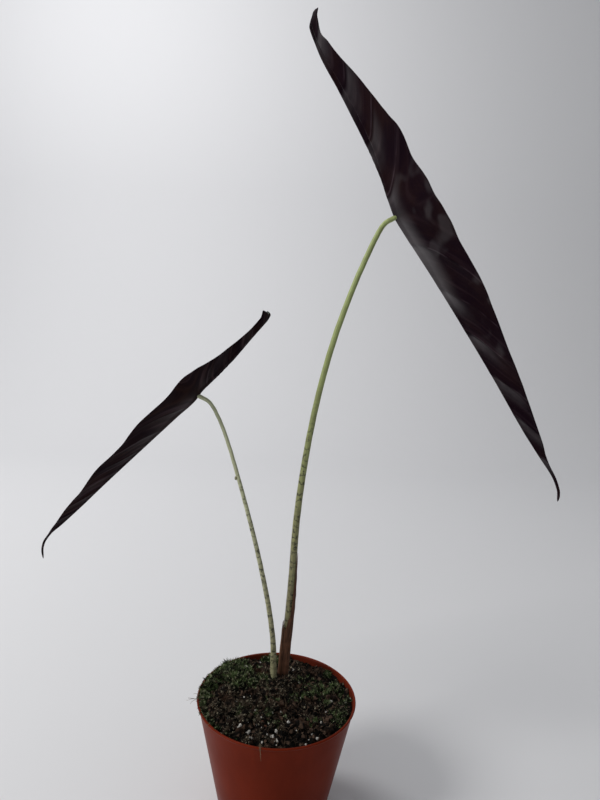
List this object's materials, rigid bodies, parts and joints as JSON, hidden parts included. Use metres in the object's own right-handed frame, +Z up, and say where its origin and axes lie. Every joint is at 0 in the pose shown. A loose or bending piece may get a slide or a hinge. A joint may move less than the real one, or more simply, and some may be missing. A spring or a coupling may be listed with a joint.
{
  "type": "potted alocasia longiloba",
  "caption": "Potted aroid house plant: hanging, folded, arrow-shaped dark leaves on slender mottled petioles, rooted in peat in a tapered nursery pot that stands on its base.",
  "frame": {"origin": "centre of the pot's underside, on the surface that the pot stands on", "axes": "+Z up along the pot's axis; +X to the right as the plant is seen from its front, towards the tall leaf; +Y away from the viewer"},
  "size_m": [0.4101, 0.12, 0.5825],
  "materials": {
    "pot_plastic": "terracotta-coloured thin injection-moulded plastic, satin gloss",
    "peat": "moist near-black peat with fibres, perlite and moss",
    "rootstock": "pale corky rhizome and fleshy roots",
    "stem_tall": "yellow-green at the top, greyish olive with dark cross dashes below, satin",
    "stem_short": "pale cream-green, finely mottled below, satin",
    "dry_sheath": "dry brown papery sheath, matt",
    "leaf": "near-black purple underside with a satin sheen, deep green upper side with pale veins"
  },
  "bodies": {
    "root": {"pot": "pot_plastic", "soil": "peat", "rhizome": "rootstock", "petiole_tall": "stem_tall", "petiole_short": "stem_short", "sheath_tall": "dry_sheath", "leaf_tall": "leaf", "leaf_short": "leaf"}
  },
  "joints": []
}
